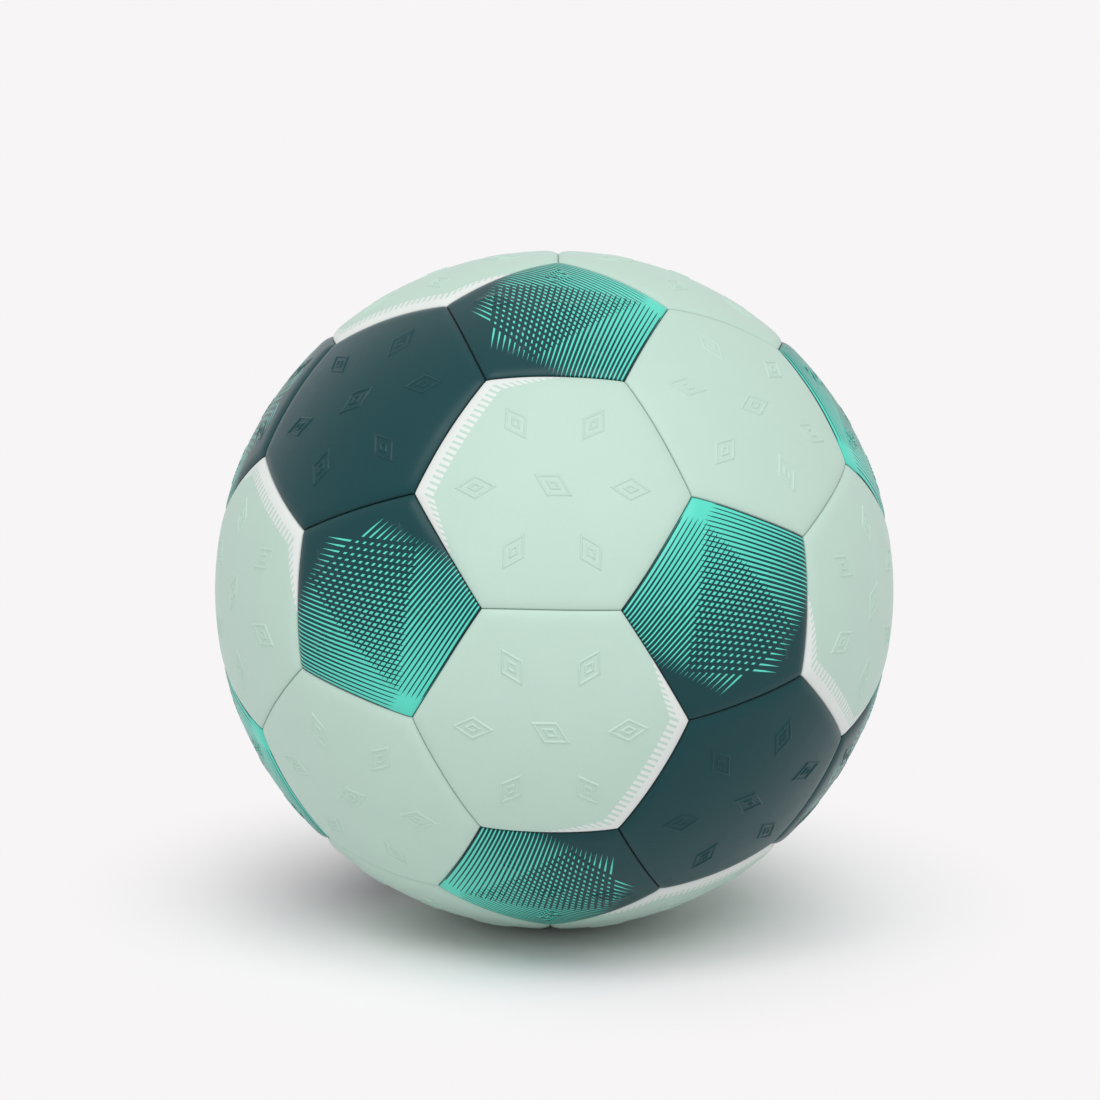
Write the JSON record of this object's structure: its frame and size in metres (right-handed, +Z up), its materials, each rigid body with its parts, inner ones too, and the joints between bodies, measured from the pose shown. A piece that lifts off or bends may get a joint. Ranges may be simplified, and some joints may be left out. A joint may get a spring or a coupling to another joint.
{
  "type": "handball",
  "caption": "Hand-stitched handball of 32 panels: hexagon and pentagon covers over foam and lining, sewn round a bladder with a needle valve.",
  "frame": {"origin": "centre of the ball", "axes": "+Z up through the centre as the ball lies on a point where three panels meet; -Y towards the side seen in the picture; +X to that view's right"},
  "size_m": [0.1748, 0.175, 0.1748],
  "materials": {
    "mint_cover": "satin, fine grain",
    "dark_cover": "satin, fine grain",
    "banded_cover": "satin, fine grain, printed band",
    "printed_cover": "satin, fine grain, printed lines",
    "foam": "closed-cell foam",
    "lining": "woven, laminated",
    "thread": "waxed",
    "bladder": "matt",
    "valve_rubber": "matt",
    "plug_rubber": "matt"
  },
  "bodies": {
    "root": {"plain_hexagon_1": "mint_cover", "plain_hexagon_2": "mint_cover", "plain_hexagon_3": "mint_cover", "plain_hexagon_4": "mint_cover", "dark_hexagon_1": "dark_cover", "dark_hexagon_2": "dark_cover", "dark_hexagon_3": "dark_cover", "dark_hexagon_4": "dark_cover", "banded_hexagon_1": "banded_cover", "banded_hexagon_2": "banded_cover", "banded_hexagon_3": "banded_cover", "banded_hexagon_4": "banded_cover", "banded_hexagon_5": "banded_cover", "banded_hexagon_6": "banded_cover", "banded_hexagon_7": "banded_cover", "banded_hexagon_8": "banded_cover", "banded_hexagon_9": "banded_cover", "banded_hexagon_10": "banded_cover", "banded_hexagon_11": "banded_cover", "banded_hexagon_12": "banded_cover", "pentagon_1": "printed_cover", "pentagon_2": "printed_cover", "pentagon_3": "printed_cover", "pentagon_4": "printed_cover", "pentagon_5": "printed_cover", "pentagon_6": "printed_cover", "pentagon_7": "printed_cover", "pentagon_8": "printed_cover", "pentagon_9": "printed_cover", "pentagon_10": "printed_cover", "pentagon_11": "printed_cover", "pentagon_12": "printed_cover", "hexagon_foam": "foam", "pentagon_foam": "foam", "hexagon_lining": "lining", "pentagon_lining": "lining", "hexagon_seam_thread": "thread", "pentagon_seam_thread": "thread", "bladder": "bladder", "valve_boot": "valve_rubber", "valve_plug": "plug_rubber"}
  },
  "joints": []
}
